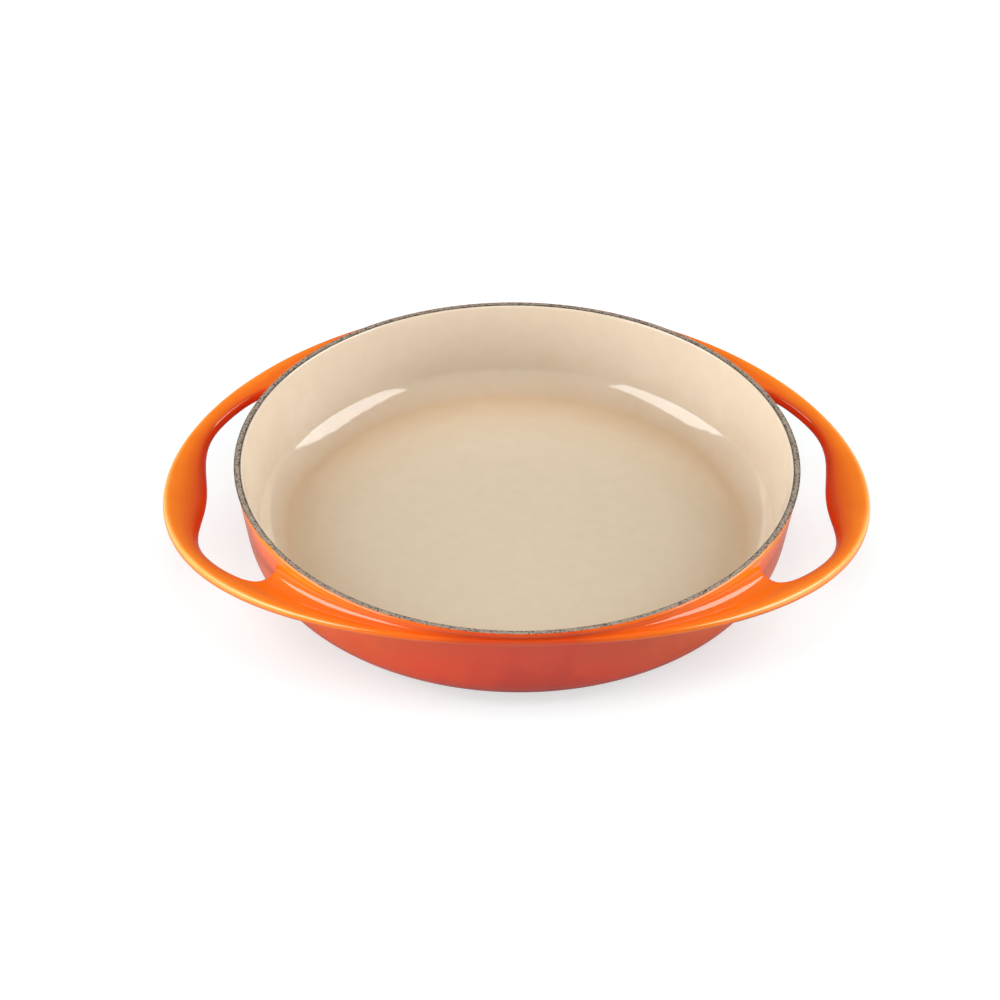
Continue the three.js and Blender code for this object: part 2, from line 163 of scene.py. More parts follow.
# How much of the second, orange coat the spray gun left: 0 is none, 1 is full; less at the front and the
# back partly as painted shade, and full along the brim's edge partly as a painted highlight
WALL_SPRAY = (0.1, 0.4)               # foot and top of the wall at the sides
FRONT_WALL_SPRAY_AND_SHADE = (0.0, 0.14)        # the same at the front and the back, where less orange is partly painted shade
UNDER_SPRAY = 0.08                    # underneath the brim
EDGE_SPRAY_AND_HIGHLIGHT = (0.2, 0.8)               # from underneath up round the brim's edge, paler towards a painted highlight on it
BRIM_SPRAY_AND_EDGE_HIGHLIGHT = (                        # from each of these columns on, the highest first; the full 1.0 on the brim's upper edge is partly a painted highlight
    (TOP_WALL, 0.76), (TOP_GRIP + 1, 0.56), (TOP_GRIP, 0.6), (TOP_EDGE + 1, 0.72),
    (TOP_EDGE, 0.8), (HIGH_EDGE + 1, 1.0), (HIGH_EDGE, 0.84),
)
RIDGE_SPRAY_AND_SHADE = 0.2                     # on the brim at the front and the back, redder partly as painted shade
RIDGE_FADE = 1.6                      # exponent with which the brim goes over to that
FRONT_START = 0.45                    # share of a quarter's rows past which the sides become the front
FRONT_REACH = 0.45                    # share of the rows over which they do
GAP_WALL_SPRAY = (0.5, 0.12)          # upper and lower edge of a gap's side along the wall
GAP_SPRAY = 0.52                      # upper edge of a gap's side along the handle
GAP_FADE = 1.1                        # how fast that thins out downwards
GAP_MIST = 0.12                       # and what is left at least


def between(start, end, share):
    """A value, or a point, part of the way from one to another."""
    if isinstance(start, tuple):
        return tuple(between(a, b, share) for a, b in zip(start, end))
    return start + (end - start) * share


def clamped(share):
    """A share kept between 0 and 1."""
    return min(1, max(0, share))


def polar(radius, angle, level):
    """A point from its radius, angle and height."""
    return Vector((radius * math.cos(angle), radius * math.sin(angle), level))


def wall_radius(level, inset=0.0):
    """Outside of the wall at a height, set in by a coat where asked."""
    return RIM_RADIUS - (HEIGHT - level) * math.tan(OUTER_TILT) - inset / math.cos(OUTER_TILT)


def arc(before, corner, after, radius, steps):
    """Points of the arc that rounds a corner between two lines."""
    corner = Vector(corner)
    back = (Vector(before) - corner).normalized()
    ahead = (Vector(after) - corner).normalized()
    half = back.angle(ahead) / 2
    centre = corner + (back + ahead).normalized() * radius / math.sin(half)
    start = corner + back * radius / math.tan(half) - centre
    end = corner + ahead * radius / math.tan(half) - centre
    sweep = math.atan2(start.cross(end), start.dot(end))
    turns = [Matrix.Rotation(sweep * k / steps, 2) for k in range(steps + 1)]
    return [tuple(turn @ start + centre) for turn in turns]


# The brim: an ellipse in plan that droops and thickens into the handles

def edge_radius(angle):
    """The brim's edge in plan."""
    long = RIM_RADIUS + HANDLE_REACH
    short = RIM_RADIUS + RIDGE_REACH
    return long * short / math.hypot(short * math.cos(angle), long * math.sin(angle))


def handle_share(angle):
    """How much of a handle the brim is: 0 at front and back, 1 at the handle's tip."""
    return (edge_radius(angle) * math.cos(angle) / (RIM_RADIUS + HANDLE_REACH)) ** 2


def beside_handle(angle):
    """1 where the rim lies beside a handle, 0 along the front and the back."""
    low, high = SINK_SHARES
    return clamped((handle_share(angle) - low) / (high - low))


def brim_fall(angle):
    """Slope of the brim, down from its edge."""
    return GRIP_FALL * handle_share(angle) ** 2


def brim_thickness(angle):
    """Thickness of the brim."""
    return between(RIDGE_THICKNESS, HANDLE_THICKNESS, handle_share(angle))


def brim_height(angle, radius):
    """Height of the middle of the brim's thickness."""
    drop = between(RIDGE_DROP, HANDLE_DROP, handle_share(angle))
    return HEIGHT - drop - brim_thickness(angle) / 2 - (edge_radius(angle) - radius) * brim_fall(angle)


def brim_at_wall(edge, level, fall, inset):
    """Where a line along the slope of the brim meets the wall."""
    lean = math.tan(OUTER_TILT) * fall
    radius = (wall_radius(level, inset) - lean * edge) / (1 - lean)
    return radius, level - (edge - radius) * fall


def brim_rounds(angle):
    """Roundings of the brim, as large as its width and its height below the bead allow."""
    edge = edge_radius(angle)
    fall = brim_fall(angle)
    half = brim_thickness(angle) / 2
    radius, level = brim_at_wall(edge, brim_height(angle, edge) + half, fall, 0)
    width = edge - radius
    edge_round = min(EDGE_ROUND, width * EDGE_SHARE, half * FACE_SHARE)
    room = min(width - edge_round, BEAD_FOOT - level) * FILLET_SHARE
    bend = math.pi / 2 - OUTER_TILT - math.atan(fall)
    return edge_round, min(TOP_FILLET, room * math.tan(bend / 2)), min(UNDER_FILLET, room)


def bead_section(angle):
    """The rounded bead in which the outer coat ends, lower and further in beside the handles."""
    sink = beside_handle(angle)
    radius = BEAD_CENTRE[0] + BEAD_SINK[0] * sink
    level = BEAD_CENTRE[1] + BEAD_SINK[1] * sink
    return [
        (radius + BEAD_RADIUS * math.cos(turn), level + BEAD_RADIUS * math.sin(turn))
        for turn in BEAD_TURNS
    ]


def outside_section(angle, inset):
    """The outside cut through at one angle, from the parting line up to the rim.

    With no inset it is the face of the coat and ends in the bead; set in, it is the iron's.
    """
    edge = edge_radius(angle) - inset
    half = brim_thickness(angle) / 2 - inset
    middle = brim_height(angle, edge)
    fall = brim_fall(angle)
    edge_round, top_fillet, under_fillet = brim_rounds(angle)
    base = FOOT_HEIGHT + inset
    parting = (PARTING_RADIUS, base)
    foot = (wall_radius(base, inset), base)
    rim = (wall_radius(COAT_TOP, inset), COAT_TOP)
    high = (edge, middle + half)
    low = (edge, middle - half)
    upper = brim_at_wall(edge, middle + half, fall, inset)
    under = brim_at_wall(edge, middle - half, fall, inset)
    corner_arc = arc(parting, foot, rim, CORNER_RADIUS - inset, CORNER_STEPS)
    under_arc = arc(foot, under, low, under_fillet + inset, FILLET_STEPS)
    low_arc = arc(under, low, high, edge_round - inset, EDGE_STEPS)
    high_arc = arc(low, high, upper, edge_round - inset, EDGE_STEPS)
    top_arc = arc(high, upper, rim, top_fillet + inset, FILLET_STEPS)
    low_wall = [between(corner_arc[-1], under_arc[0], share) for share in LOW_SHARES]
    underside = [between(under_arc[-1], low_arc[0], share) for share in FLAT_SHARES]
    top = [between(top_arc[0], high_arc[-1], share) for share in reversed(FLAT_SHARES)]
    bead = [] if inset else bead_section(angle)
    if bead:
        wall_end = max(BEAD_START, (top_arc[-1][1] + BEAD_FOOT) / 2)
        rim = (wall_radius(wall_end), wall_end)
    high_wall = [between(top_arc[-1], rim, 1 / 2)]
    return (
        [parting] + corner_arc + low_wall + under_arc + underside + low_arc
        + high_arc + top + top_arc + high_wall + [rim] + bead
    )


# The finger gaps: kidney-shaped in plan, with a rounded inner edge

def thumb_swell(angle):
    """How much of a thumb rest the handle is: 1 in its middle, 0 on its flanks."""
    return (1 + math.cos(math.pi * angle / FLANK_ANGLE)) / 2 if abs(angle) < FLANK_ANGLE else 0.0


def grip_run(angle, above):
    """How far the rounded inner edge of the handle runs on over its top, or over its underside."""
    thickness = brim_thickness(angle)
    if above:
        return thickness * GRIP_ROUND_ABOVE + THUMB_ROLL * thumb_swell(angle)
    return thickness * GRIP_ROUND_BELOW


def gap_measure(angle, radius):
    """Below 1 inside a finger gap, 1 on its outline and more outside it."""
    inner = edge_radius(angle) - between(FLANK_WIDTH, GRIP_WIDTH, thumb_swell(angle))
    wall = wall_radius(brim_height(angle, inner))
    reach = max(0, (radius - wall) / (inner - wall))
    return abs(angle / GAP_ANGLE) ** GAP_SQUARENESS + reach ** GAP_SQUARENESS


def gap_limit(near, far, measure):
    """Where the outline lies between a place in the gap and one past it, found by halving."""
    for _ in range(HALVINGS):
        middle = (near + far) / 2
        if measure(middle) < 1:
            near = middle
        else:
            far = middle
    return near


def gap_radius(angle):
    """The handle's inner edge at one angle."""
    return gap_limit(wall_radius(0), edge_radius(angle), lambda radius: gap_measure(angle, radius))


def gap_angle(radius):
    """The end of the gap at one radius."""
    return gap_limit(GAP_CORNER / 2, GAP_ANGLE, lambda angle: gap_measure(angle, radius))


def gap_side(column):
    """Steps from the handle's inner edge to the wall at a column of the cage."""
    return column - TOP_GRIP if column >= TOP_GRIP else UNDER_GRIP - column


def gap_outline(row, column):
    """Angle and radius of the gap's outline at a place of the cage, and its direction into the iron."""
    side = gap_side(column)
    if side == 0:
        angle = GAP_CORNER * row / GAP_ROWS
        radius = gap_radius(angle)
    else:
        section = outside_section(GAP_ANGLE, 0)
        if side >= FILLET_SIDE:
            radius = section[column][0]
        else:
            fillet = TOP_GRIP + FILLET_SIDE if column >= TOP_GRIP else UNDER_GRIP - FILLET_SIDE
            radius = between(gap_radius(GAP_CORNER), section[fillet][0], side / FILLET_SIDE)
        angle = gap_angle(radius)
    step = SLOPE_STEP
    turn = step / radius
    outwards = (gap_measure(angle, radius + step) - gap_measure(angle, radius - step)) / (2 * step)
    around = (gap_measure(angle + turn, radius) - gap_measure(angle - turn, radius)) / (2 * step)
    return angle, radius, Vector((outwards, around)).normalized()


def gap_spot(row, column, out):
    """Radius and angle of a place of the gap's outline, moved into the iron."""
    angle, radius, direction = gap_outline(row, column)
    spot = Vector((radius + direction.x * out, direction.y * out))
    return math.hypot(*spot), angle + math.atan2(spot.y, spot.x)


def gap_rim(row, column, inset):
    """Where the rounded inner edge of the gap meets the top or the underside of the brim."""
    above = column >= TOP_GRIP
    side = gap_side(column)
    if side == GAP_SIDES and row < GAP_ROWS:
        radius, level = outside_section(WALL_END, inset)[column]
        return polar(radius, WALL_END * WALL_ROWS[row], level)
    angle = gap_outline(row, column)[0]
    radius, angle = gap_spot(row, column, grip_run(angle, above))
    if side >= FILLET_SIDE:
        radius, level = outside_section(angle, inset)[column]
    else:
        half = brim_thickness(angle) / 2 - inset
        level = brim_height(angle, radius) + (half if above else -half)
    return polar(radius, angle, level)


def gap_wall(row, side, depth, inset):
    """A place of the gap's side between its upper and its lower edge."""
    upper = gap_rim(row, TOP_GRIP + side, inset)
    lower = gap_rim(row, UNDER_GRIP - side, inset)
    if side == GAP_SIDES and row < GAP_ROWS:
        level = between(upper.z, lower.z, depth)
        return polar(wall_radius(level, inset), WALL_END * WALL_ROWS[row], level)
    cut = round(depth * (GAP_CUTS + 1))
    above = cut <= UPPER_CUTS
    turn = GAP_TURNS[cut - 1]
    column = TOP_GRIP + side if above else UNDER_GRIP - side
    angle = gap_outline(row, column)[0]
    upper_round = brim_thickness(angle) * GRIP_ROUND_ABOVE
    lower_round = brim_thickness(angle) * GRIP_ROUND_BELOW
    if turn == 0:
        level = (upper.z - upper_round + lower.z + lower_round) / 2
    elif above:
        level = upper.z - (upper_round - inset) * (1 - math.sin(turn))
    else:
        level = lower.z + (lower_round - inset) * (1 - math.sin(turn))
    run = grip_run(angle, above)
    radius, angle = gap_spot(row, column, run - (run - inset) * math.cos(turn))
    edge = upper if above else lower
    level -= (edge.xy.length - radius) * brim_fall(angle)
    if side == GAP_SIDES:
        radius = wall_radius(level, inset)
    return polar(radius, angle, level)


# The cage of the outside, made for a quarter turn and mirrored

def row_angle(row, end):
    """Angle of a row of the cage in the first quarter turn, where the last row of the gap is at end."""
    if row <= GAP_ROWS:
        return end * row / GAP_ROWS
    return between(end, math.pi / 2, (row - GAP_ROWS) / (QUARTER_ROWS - GAP_ROWS))


def outside_spread(column):
    """How far a column follows the handle's rows rather than the wall's."""
    if UNDER_GRIP <= column <= TOP_GRIP:
        return 1.0
    side = gap_side(column)
    return SIDE_SPREAD[side] if side <= GAP_SIDES else 0.0


def outside_place(row, column, inset):
    """A place of the outside's cage in the first quarter turn."""
    on_gap = row <= GAP_ROWS
    if on_gap and column in (UNDER_GRIP, UNDER_WALL, TOP_GRIP, TOP_WALL):
        return gap_rim(row, column, inset)
    if row == GAP_ROWS and (UNDER_WALL < column < UNDER_GRIP or TOP_GRIP < column < TOP_WALL):
        return gap_rim(row, column, inset)
    if on_gap and not UNDER_WALL < column < TOP_WALL:
        angle = WALL_END * WALL_ROWS[row]
        if column >= BEAD_COLUMN:
            radius, level = bead_section(angle)[column - BEAD_COLUMN]
        else:
            radius, level = outside_section(WALL_END, inset)[column]
        return polar(radius, angle, level)
    angle = between(row_angle(row, WALL_END), row_angle(row, EDGE_END), outside_spread(column))
    section = outside_section(angle, inset)
    if on_gap and column in (UNDER_EDGE - 1, TOP_EDGE + 1):
        edge, grip = (UNDER_EDGE, UNDER_GRIP) if column < UNDER_EDGE else (TOP_EDGE, TOP_GRIP)
        return (gap_rim(row, grip, inset) + polar(section[edge][0], angle, section[edge][1])) / 2
    radius, level = section[column]
    return polar(radius, angle, level)


def unfolded(turn_row):
    """The row in the first quarter turn that a row stands for, and the signs of its X and Y."""
    if turn_row <= QUARTER_ROWS:
        return turn_row, 1, 1
    if turn_row <= 2 * QUARTER_ROWS:
        return 2 * QUARTER_ROWS - turn_row, -1, 1
    if turn_row <= 3 * QUARTER_ROWS:
        return turn_row - 2 * QUARTER_ROWS, -1, -1
    return TURN_ROWS - turn_row, 1, -1


def row_of(vert):
    """The row of the cage that a spun vertex is on."""
    return round(math.atan2(vert.co.y, vert.co.x) / (2 * math.pi) * TURN_ROWS) % TURN_ROWS


def spray_and_painted_light_on(row, column):
    """How much of the orange coat lies on a place of the outside, with painted shade making the front and
    the back redder and a painted highlight along the brim's edge.
    """
    # The front and the back get less orange: partly the coat, partly painted shade
    front = clamped((row / QUARTER_ROWS - FRONT_START) / FRONT_REACH)
    if column <= UNDER_WALL:
        rise = column / UNDER_WALL
        return between(between(*WALL_SPRAY, rise), between(*FRONT_WALL_SPRAY_AND_SHADE, rise), front)
    if column <= UNDER_GRIP:
        return UNDER_SPRAY
    if column < HIGH_EDGE:
        amount = between(*EDGE_SPRAY_AND_HIGHLIGHT, (column - UNDER_GRIP) / (HIGH_EDGE - UNDER_GRIP))
    else:
        amount = next(spray for first, spray in BRIM_SPRAY_AND_EDGE_HIGHLIGHT if column >= first)
    return between(amount, RIDGE_SPRAY_AND_SHADE, front ** RIDGE_FADE)


def gap_spray(side, depth):
    """The same on the side of a finger gap, where only a mist of it reached."""
    if side == GAP_SIDES:
        return between(*GAP_WALL_SPRAY, depth)
    return max(GAP_MIST, GAP_SPRAY - GAP_FADE * depth)


def profile_line(bm, profile, closed=False):
    """Lays a profile of radius and height into the mesh as a line of edges."""
    verts = [bm.verts.new((radius, 0, level)) for radius, level in profile]
    ends = verts[1:] + verts[:1] if closed else verts[1:]
    return verts, [bm.edges.new(pair) for pair in zip(verts, ends)]


def put_in_order(bm):
    """Sorts a mesh by place, because a spin leaves its faces in an order that changes from run to run."""
    for index, vert in enumerate(sorted(bm.verts, key=lambda vert: tuple(vert.co))):
        vert.index = index
    bm.verts.sort()
    for elements in (bm.edges, bm.faces):
        order = sorted(elements, key=lambda element: sorted(vert.index for vert in element.verts))
        for index, element in enumerate(order):
            element.index = index
        elements.sort()


def full_turn(bm, geometry, steps):
    """Spins a profile into a closed ring of faces."""
    bmesh.ops.spin(
        bm, geom=geometry, cent=(0, 0, 0), axis=(0, 0, 1), dvec=(0, 0, 0),
        angle=2 * math.pi, steps=steps, use_merge=True, use_normal_flip=False, use_duplicate=False,
    )
    put_in_order(bm)


def outside_cage(bm, inset, below=(), inside=()):
    """The outside as a cage of four-sided faces with both finger gaps open, for smoothing.

    The profile may run on below, to the middle of the base, and inside, to the middle of the floor.
    """
    start = outside_section(math.pi / 2, inset)
    column_of = bm.verts.layers.int.new("column")
    spray = bm.verts.layers.float.new("spray")
    gap_of = bm.verts.layers.int.new("gap")
    row_at = bm.verts.layers.float.new("gap_row")
    side_at = bm.verts.layers.float.new("gap_side")
    depth_at = bm.verts.layers.float.new("gap_depth")
    verts, edges = profile_line(bm, [*below, *start, *inside])
    for index, vert in enumerate(verts):
        column = index - len(below)
        vert[column_of] = column if 0 <= column < len(start) else -1
    full_turn(bm, verts + edges, TURN_ROWS)
    for vert in bm.verts:
        column = vert[column_of]
        if column < 0:
            continue
        row, sign_x, sign_y = unfolded(row_of(vert))
        spot = outside_place(row, column, inset)
        vert.co = (spot.x * sign_x, spot.y * sign_y, spot.z)
        vert[spray] = spray_and_painted_light_on(row, column)
        if row <= GAP_ROWS and (UNDER_WALL <= column <= UNDER_GRIP or TOP_GRIP <= column <= TOP_WALL):
            vert[row_at] = row * sign_y
            vert[side_at] = gap_side(column)
            vert[depth_at] = 0 if column >= TOP_GRIP else 1
            vert[gap_of] = sign_x
    open_gap(bm, 1, inset)
    open_gap(bm, -1, inset)


def open_gap(bm, sign_x, inset):
    """Takes the faces of one finger gap away and joins its upper and lower edge with a rounded side."""
    gap_of = bm.verts.layers.int["gap"]
    spray = bm.verts.layers.float["spray"]
    row_at = bm.verts.layers.float["gap_row"]
    side_at = bm.verts.layers.float["gap_side"]
    depth_at = bm.verts.layers.float["gap_depth"]

    def on_gap(element):
        depths = {vert[depth_at] for vert in element.verts}
        return len(depths) == 1 and all(vert[gap_of] == sign_x for vert in element.verts)

    bmesh.ops.delete(bm, geom=[face for face in bm.faces if on_gap(face)], context="FACES")
    rims = [edge for edge in bm.edges if edge.is_boundary and on_gap(edge)]
    joined = bmesh.ops.bridge_loops(bm, edges=rims)
    struts = []
    for edge in dict.fromkeys(edge for face in joined["faces"] for edge in face.edges):
        first, second = edge.verts
        if first[depth_at] == second[depth_at]:
            continue
        if first[row_at] != second[row_at] or first[side_at] != second[side_at]:
            raise ValueError("the finger gap's edges aren't joined straight across")
        struts.append(edge)
    made = bmesh.ops.subdivide_edges(bm, edges=struts, cuts=GAP_CUTS, use_grid_fill=True)
    for vert in made["geom_inner"]:
        if not isinstance(vert, bmesh.types.BMVert):
            continue
        side = round(vert[side_at])
        spot = gap_wall(round(abs(vert[row_at])), side, vert[depth_at], inset)
        sign_y = -1 if vert[row_at] < 0 else 1
        vert.co = (spot.x * sign_x, spot.y * sign_y, spot.z)
        vert[spray] = gap_spray(side, vert[depth_at])


# Profiles of the pieces that are round

def inside_profile(inset=0.0):
    """Inside of the dish, from the middle of the floor up the cove and the wall.

    With no inset it is the face of the coat and ends in the lip; set in, it is the iron's.
    """
    slope = math.tan(INNER_TILT)
    out = inset / math.cos(INNER_TILT)
    meeting_level = FLOOR_HEIGHT + COVE_HEIGHT
    meeting = MOUTH_RADIUS - (HEIGHT - meeting_level) * slope
    sweep = math.acos(1 - COVE_HEIGHT / COVE_RADIUS)
    centre = meeting - COVE_RADIUS * math.sin(sweep)
    radius = COVE_RADIUS + inset
    bend = math.pi / 2 - INNER_TILT - sweep
    rise = COVE_BREAK * math.tan(bend / 2)
    turns = [between(0, sweep - rise / COVE_RADIUS, k / COVE_STEPS) for k in range(COVE_STEPS + 1)]
    cove = [
        (centre + radius * math.sin(turn), FLOOR_HEIGHT + COVE_RADIUS - radius * math.cos(turn))
        for turn in turns
    ]
    corner = (meeting + out * math.cos(bend), meeting_level - inset * math.sin(bend) / 2)
    after = (MOUTH_RADIUS - (HEIGHT - meeting_level - rise) * slope + out, meeting_level + rise)
    softened = [
        between(between(cove[-1], corner, share), between(corner, after, share), share)
        for share in BREAK_SHARES
    ]
    if inset:
        end = [(MOUTH_RADIUS - (HEIGHT - COAT_TOP) * slope + out, COAT_TOP)]
    else:
        end = [
            (LIP_CENTRE[0] - LIP_RADIUS * math.cos(turn), LIP_CENTRE[1] + LIP_RADIUS * math.sin(turn))
            for turn in LIP_TURNS
        ]
    floor_line = [(ring, FLOOR_HEIGHT - inset) for ring in FLOOR_RINGS]
    wall = [between(after, end[0], share) for share in WALL_SHARES]
    return floor_line + cove + softened + wall + end


def underside_profile(inset=0.0):
    """Underside with its foot ring, from the middle out to the parting line."""
    inner = FOOT_RADIUS - FOOT_WIDTH
    level = FOOT_HEIGHT + inset
    middle = (0.0, level)
    root_in = (inner - FOOT_DRAFT + inset, level)
    toe_in = (inner + inset, inset)
    toe_out = (FOOT_RADIUS - inset, inset)
    root_out = (FOOT_RADIUS + FOOT_DRAFT - inset, level)
    edge = (PARTING_RADIUS - COAT_BED, level)
    corners = [middle, root_in, toe_in, toe_out, root_out, edge]
    profile = [middle] + [(ring, level) for ring in BASE_RINGS]
    for before, corner, after in zip(corners, corners[1:], corners[2:]):
        profile += arc(before, corner, after, FOOT_ROUND, ROUND_STEPS)
    return profile + [edge]


def rim_profile():
    """The bare coat on the rim, cut through."""
    under = HEIGHT - RIM_COAT_HEIGHT
    low_in = (MOUTH_RADIUS, under)
    low_out = (RIM_COAT_RADIUS, under)
    high_out = (RIM_COAT_RADIUS, HEIGHT)
    high_in = (MOUTH_RADIUS, HEIGHT)
    outer_round = arc(low_out, high_out, high_in, RIM_ROUND, ROUND_STEPS)
    inner_round = arc(high_out, high_in, low_in, RIM_ROUND, ROUND_STEPS)
    return [low_in, low_out] + outer_round + inner_round


# Materials

def linear(code):
    """A colour from its sRGB hex value, with full cover."""
    parts = [int(code[i:i + 2], 16) / 255 for i in (0, 2, 4)]
    return tuple(p / 12.92 if p <= 0.04045 else ((p + 0.055) / 1.055) ** 2.4 for p in parts) + (1.0,)


def node(tree, kind, inputs=None, stops=(), **settings):
    """Adds a node with its settings, a ramp's colour stops, and values or links on its sockets."""
    made = tree.nodes.new(kind)
    for name, value in settings.items():
        setattr(made, name, value)
    if stops:
        elements = made.color_ramp.elements
        while len(elements) < len(stops):
            elements.new(0.5)
        for element, (place, code) in zip(elements, stops):
            element.position = place
            element.color = linear(code)
    for socket, value in (inputs or {}).items():
        if isinstance(value, bpy.types.NodeSocket):
            tree.links.new(value, made.inputs[socket])
        else:
            made.inputs[socket].default_value = value
    return made


def blank_material(name):
    """A material with an empty node tree, and the place on its piece that patterns follow."""
    material = bpy.data.materials.new(name)
    material.use_nodes = True
    tree = material.node_tree
    tree.nodes.clear()
    return material, tree, node(tree, "ShaderNodeTexCoord").outputs["Object"]


def per_metre(size):
    """Scale of a noise whose features are about this many millimetres across."""
    return 1 / (size * MM)


def distance_out(tree, place):
    """Distance of a place from the middle of the dish."""
    level = node(tree, "ShaderNodeVectorMath", {0: place, 1: (1, 1, 0)}, operation="MULTIPLY")
    length = node(tree, "ShaderNodeVectorMath", {0: level.outputs["Vector"]}, operation="LENGTH")
    return length.outputs["Value"]


def drifted(tree, value, cloud, swing):
    """A value that a noise moves up and down, by up to half the swing each way."""
    drift = node(tree, "ShaderNodeMath", {0: cloud, 1: swing, 2: -swing / 2}, operation="MULTIPLY_ADD")
    return node(tree, "ShaderNodeMath", {0: value, 1: drift.outputs[0]}, operation="ADD").outputs[0]


def surfaced(tree, colour, relief, strength, depth, **finish):
    """Ends a material with its colour, a relief so many millimetres deep, and its finish."""
    bump = node(tree, "ShaderNodeBump", {"Height": relief, "Strength": strength, "Distance": depth * MM})
    shader = node(tree, "ShaderNodeBsdfPrincipled", {
        "Base Color": colour, "Normal": bump.outputs["Normal"], **finish,
    })
    node(tree, "ShaderNodeOutputMaterial", {"Surface": shader.outputs["BSDF"]})


def orange_enamel():
    """Vitreous enamel sprayed in two coats: red all over, orange where the gun passed over the top.

    Fired to a deep gloss; the orange thins out in clouds, and the spray left a faint ripple. Its colour
    also holds painted shade at the front and the back, and a painted highlight along the brim's edge.
    """
    material, tree, place = blank_material("sprayed_orange_enamel")
    spray = node(tree, "ShaderNodeAttribute", attribute_name="spray").outputs["Fac"]
    cloud = node(tree, "ShaderNodeTexNoise", {"Vector": place, "Scale": per_metre(14), "Detail": 3.0})
    amount = drifted(tree, spray, cloud.outputs["Fac"], swing=0.12)
    # The palest stop, on the brim's rounded edge, is partly a painted highlight over the orange
    colour = node(tree, "ShaderNodeValToRGB", {"Fac": amount}, stops=(
        (0.0, "B41609"), (0.13, "DA3C10"), (0.22, "D24810"), (0.36, "E45C10"),
        (0.62, "E66C0F"), (0.78, "F28016"), (1.0, "FFB464"),
    ))
    ripple = node(tree, "ShaderNodeTexNoise", {"Vector": place, "Scale": per_metre(3), "Detail": 2.0})
    surfaced(
        tree, colour.outputs["Color"], ripple.outputs["Fac"], strength=0.12, depth=0.4,
        Roughness=0.07, IOR=1.7,
    )
    return material


def red_enamel():
    """Vitreous enamel of the first coat alone, under the dish where no second coat was sprayed.

    Duller than the sides, in a red that is faintly clouded.
    """
    material, tree, place = blank_material("sprayed_red_enamel")
    cloud = node(tree, "ShaderNodeTexNoise", {"Vector": place, "Scale": per_metre(20), "Detail": 4.0})
    colour = node(
        tree, "ShaderNodeValToRGB", {"Fac": cloud.outputs["Fac"]},
        stops=((0.3, "9C2418"), (0.7, "AE2E1A")),
    )
    ripple = node(tree, "ShaderNodeTexNoise", {"Vector": place, "Scale": per_metre(3), "Detail": 2.0})
    surfaced(
        tree, colour.outputs["Color"], ripple.outputs["Fac"], strength=0.15, depth=0.4,
        Roughness=0.18, IOR=1.52,
    )
    return material


def sand_enamel():
    """Pale vitreous enamel, slushed over the cooking side and fired.

    Glassy and slightly uneven, darker and browner in the cove as painted shade, and duller on the floor.
    """
    material, tree, place = blank_material("pale_sand_enamel")
    reach = node(tree, "ShaderNodeMapRange", {
        "Value": distance_out(tree, place), "From Max": MOUTH_RADIUS * MM,
    }).outputs["Result"]
    cloud = node(tree, "ShaderNodeTexNoise", {"Vector": place, "Scale": per_metre(18), "Detail": 4.0})
    # Darker and browner in the cove: painted shade
    tone_and_cove_shade = node(
        tree, "ShaderNodeValToRGB", {"Fac": drifted(tree, reach, cloud.outputs["Fac"], swing=0.05)},
        stops=((0.55, "D3C2A9"), (0.72, "D1BCA1"), (0.84, "CBAE8E"), (0.9, "D3BDA3"), (0.96, "DAC9B3")),
    )
    wave = node(tree, "ShaderNodeTexNoise", {"Vector": place, "Scale": per_metre(7), "Detail": 2.0})
    mottle = node(
        tree, "ShaderNodeValToRGB", {"Fac": wave.outputs["Fac"]},
        stops=((0.35, "FCFCFC"), (0.65, "FFFFFF")),
    )
    colour = node(
        tree, "ShaderNodeMix", {0: 1.0, 6: tone_and_cove_shade.outputs["Color"], 7: mottle.outputs["Color"]},
        data_type="RGBA", blend_type="MULTIPLY",
    )
    dulled = node(tree, "ShaderNodeMapRange", {
        "Value": reach, "From Min": 0.6, "From Max": 0.88, "To Min": 0.26, "To Max": 0.08,
    }, interpolation_type="SMOOTHSTEP")
    surfaced(
        tree, colour.outputs[2], wave.outputs["Fac"], strength=0.15, depth=0.6,
        Roughness=dulled.outputs["Result"], IOR=1.7,
    )
    return material


def ground_coat():
    """Ground coat left bare on the rim: a frit that melted just enough to hold.

    Satin grey-brown with dark specks, dark and ragged where the other coats end.
    """
    material, tree, place = blank_material("satin_ground_coat")
    across = node(tree, "ShaderNodeMapRange", {
        "Value": distance_out(tree, place), "From Min": MOUTH_RADIUS * MM, "From Max": RIM_RADIUS * MM,
    })
    # Grit and specks of a frit are finer than half a millimetre; they are drawn coarser so that they show
    grit = node(tree, "ShaderNodeTexNoise", {"Vector": place, "Scale": per_metre(1.1), "Detail": 3.0})
    specks = node(tree, "ShaderNodeTexNoise", {"Vector": place, "Scale": per_metre(0.8), "Detail": 2.0})
    ragged = drifted(tree, across.outputs["Result"], grit.outputs["Fac"], swing=0.9)
    bands = node(tree, "ShaderNodeValToRGB", {"Fac": ragged}, stops=(
        (0.0, "4A4239"), (0.12, "74695C"), (0.26, "9C8D7D"),
        (0.74, "A09180"), (0.88, "786C5F"), (1.0, "443C34"),
    ))
    speckled = node(
        tree, "ShaderNodeValToRGB", {"Fac": specks.outputs["Fac"]},
        stops=((0.37, "323232"), (0.47, "FFFFFF")),
    )
    colour = node(
        tree, "ShaderNodeMix", {0: 1.0, 6: bands.outputs["Color"], 7: speckled.outputs["Color"]},
        data_type="RGBA", blend_type="MULTIPLY",
    )
    surfaced(
        tree, colour.outputs[2], grit.outputs["Fac"], strength=0.5, depth=0.4,
        Roughness=0.45, IOR=1.5,
    )
    return material


